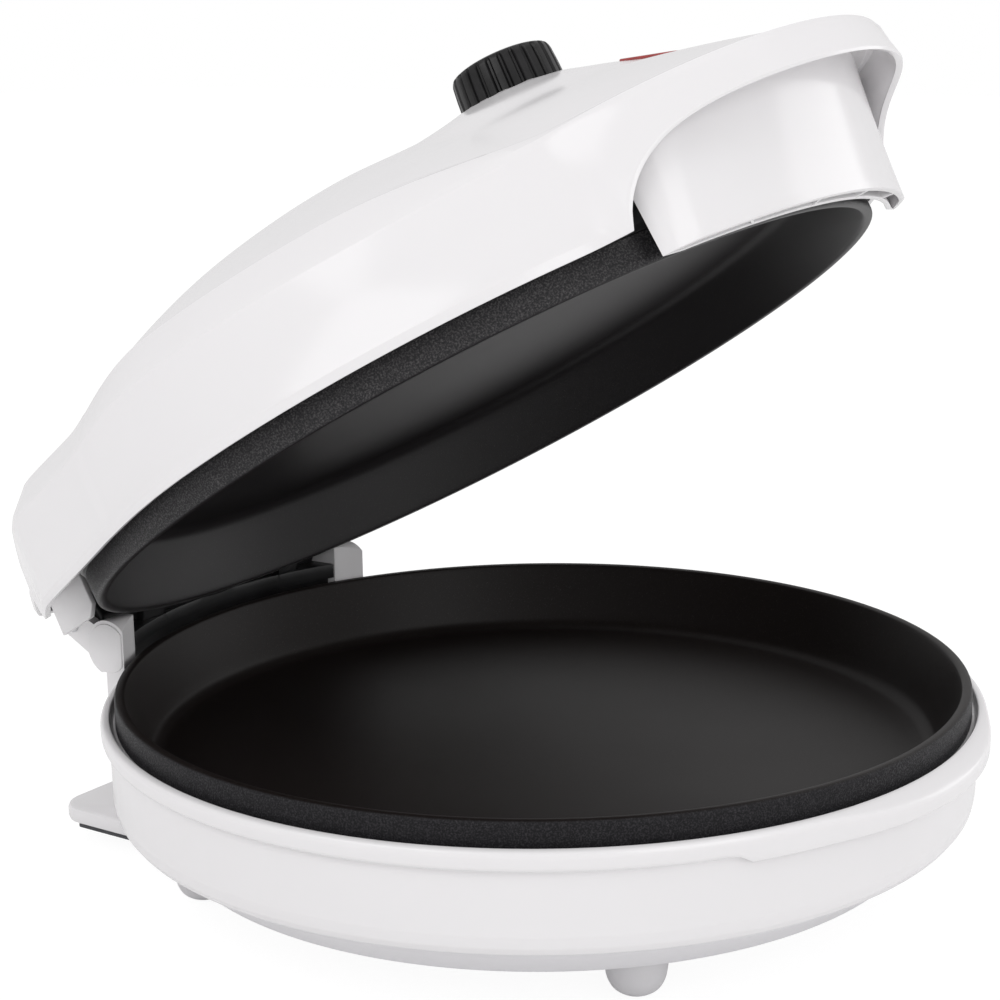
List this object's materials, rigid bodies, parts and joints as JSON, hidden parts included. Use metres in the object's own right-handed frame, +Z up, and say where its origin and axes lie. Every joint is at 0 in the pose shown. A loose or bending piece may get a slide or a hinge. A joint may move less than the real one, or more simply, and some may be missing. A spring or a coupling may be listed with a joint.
{
  "type": "electric pizza maker",
  "caption": "Round countertop pizza maker with a hinged domed lid, two non-stick pans, a ribbed thermostat dial and a visor handle, standing open on its feet.",
  "frame": {"origin": "on the table plane, under the middle of the opened maker's bounding box", "axes": "+X to the maker's right, -Y towards the handle, +Y towards the hinge, +Z up"},
  "size_m": [0.3362, 0.3666, 0.3167],
  "materials": {
    "white_plastic": "glossy moulded",
    "pale_grey_plastic": "satin moulded",
    "pan_coating": "non-stick coating",
    "black_metal": "black enamel",
    "bright_steel": "bright",
    "dark_rubber": "matt",
    "black_plastic": "satin moulded",
    "red_lens": "clear red"
  },
  "bodies": {
    "base": {"base_shell": "white_plastic", "base_bottom": "pale_grey_plastic", "base_pan": "pan_coating", "lower_element": "bright_steel", "lower_reflector": "bright_steel", "foot_front_left": "pale_grey_plastic", "foot_front_right": "pale_grey_plastic", "foot_rear_left": "pale_grey_plastic", "foot_rear_right": "pale_grey_plastic", "hinge_post_left": "white_plastic", "hinge_post_right": "white_plastic", "hinge_rail": "black_metal", "hinge_cap_left": "white_plastic", "hinge_cap_right": "white_plastic", "hinge_pin_left": "bright_steel", "hinge_pin_right": "bright_steel", "heel_plate": "white_plastic", "heel_pad_left": "dark_rubber", "heel_pad_right": "dark_rubber", "cord_gland": "dark_rubber"},
    "lid": {"lid_shell": "white_plastic", "handle_wall": "white_plastic", "lid_pan": "pan_coating", "lid_pan_ring": "black_plastic", "upper_element": "bright_steel", "upper_reflector": "bright_steel", "hinge_barrel": "black_metal", "hinge_arm_left": "black_metal", "hinge_arm_right": "black_metal", "cover_bracket_left": "white_plastic", "cover_bracket_right": "white_plastic", "thermostat": "bright_steel", "indicator_lens": "red_lens", "lamp_heat": "red_lens", "lamp_power": "red_lens"},
    "knob": {"control_knob": "black_plastic", "knob_shaft": "bright_steel", "knob_pointer": "white_plastic"}
  },
  "joints": [
    {"name": "lid_hinge", "type": "hinge", "parent": "base", "child": "lid", "pos_m": [0, 0.15829, 0.0857], "axis": [-1, 0, 0], "range_deg": [-32.1, 68]},
    {"name": "knob_turn", "type": "hinge", "parent": "lid", "child": "knob", "pos_m": [0, -0.00531, 0.28689], "axis": [0, -0.4555, -0.8902], "range_deg": [0, 270]}
  ]
}
